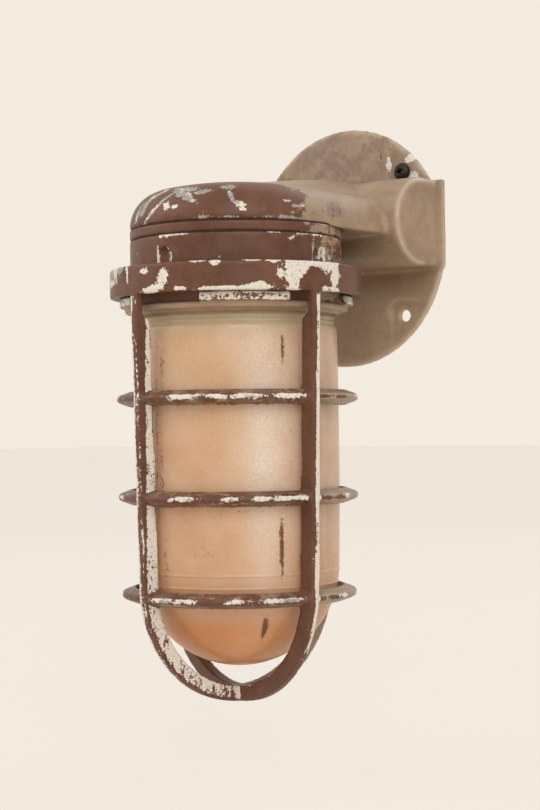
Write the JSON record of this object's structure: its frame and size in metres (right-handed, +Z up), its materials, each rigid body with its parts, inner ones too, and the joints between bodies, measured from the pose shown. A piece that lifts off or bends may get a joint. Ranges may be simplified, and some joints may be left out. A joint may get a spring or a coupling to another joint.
{
  "type": "cage wall light",
  "caption": "Cast wall bracket light: round plate, cross wiring box and arm with a domed hood, screwed globe holder, clear jar globe and a bayonet cage guard of ribs and hoops.",
  "frame": {"origin": "centre of the wall plate's screw pattern, on the wall plane", "axes": "+X right along the wall as seen from the room, +Y into the wall, +Z up; the lamp axis is vertical at Y = -96.3 mm"},
  "size_m": [0.1314, 0.1612, 0.3043],
  "materials": {
    "painted_casting": "brown and tan paint over primer on cast aluminium, chipped",
    "gasket": "dull",
    "globe_glass": "clear, dusty",
    "porcelain": "glazed white porcelain",
    "plated_steel": "zinc plate, dull",
    "contact_brass": "plain",
    "green_steel": "green dye over zinc plate",
    "black_insulation": "dull",
    "white_insulation": "dull",
    "green_insulation": "dull",
    "bushing_rubber": "dull"
  },
  "bodies": {
    "bracket": {"bracket_casting": "painted_casting", "socket_ring": "painted_casting", "hood_gasket": "gasket", "lampholder_body": "porcelain", "lampholder_strap": "plated_steel", "strap_screws": "plated_steel", "lampholder_screws": "plated_steel", "screw_shell": "contact_brass", "centre_contact": "contact_brass", "hot_terminal": "contact_brass", "hot_terminal_screw": "contact_brass", "neutral_terminal": "plated_steel", "neutral_terminal_screw": "plated_steel", "ground_screw": "green_steel", "hot_lead": "black_insulation", "neutral_lead": "white_insulation", "ground_lead": "green_insulation", "lead_bushings": "bushing_rubber"},
    "holder_lift": {"holder_gasket": "gasket"},
    "holder": {"globe_holder": "painted_casting"},
    "globe_lift": {"globe_gasket": "gasket"},
    "globe": {"glass_globe": "globe_glass"},
    "guard": {"guard": "painted_casting", "guard_set_screw": "plated_steel"}
  },
  "joints": [
    {"name": "holder_drop", "type": "slide", "parent": "bracket", "child": "holder_lift", "axis": [0, 0, -1], "range_m": [0, 0.009]},
    {"name": "holder_turn", "type": "hinge", "parent": "holder_lift", "child": "holder", "pos_m": [0, -0.0963, -0.02], "axis": [0, 0, -1], "range_deg": [0, 1080]},
    {"name": "globe_drop", "type": "slide", "parent": "holder", "child": "globe_lift", "axis": [0, 0, -1], "range_m": [0, 0.009]},
    {"name": "globe_turn", "type": "hinge", "parent": "globe_lift", "child": "globe", "pos_m": [0, -0.0963, -0.03], "axis": [0, 0, -1], "range_deg": [0, 1080]},
    {"name": "guard_twist", "type": "hinge", "parent": "holder", "child": "guard", "pos_m": [0, -0.0963, -0.025], "axis": [0, 0, 1], "range_deg": [0, 45]}
  ],
  "couplings": [
    {"joint": "holder_drop", "follows": "holder_turn", "m_per_rad": 0.00047746},
    {"joint": "globe_drop", "follows": "globe_turn", "m_per_rad": 0.00047746}
  ]
}
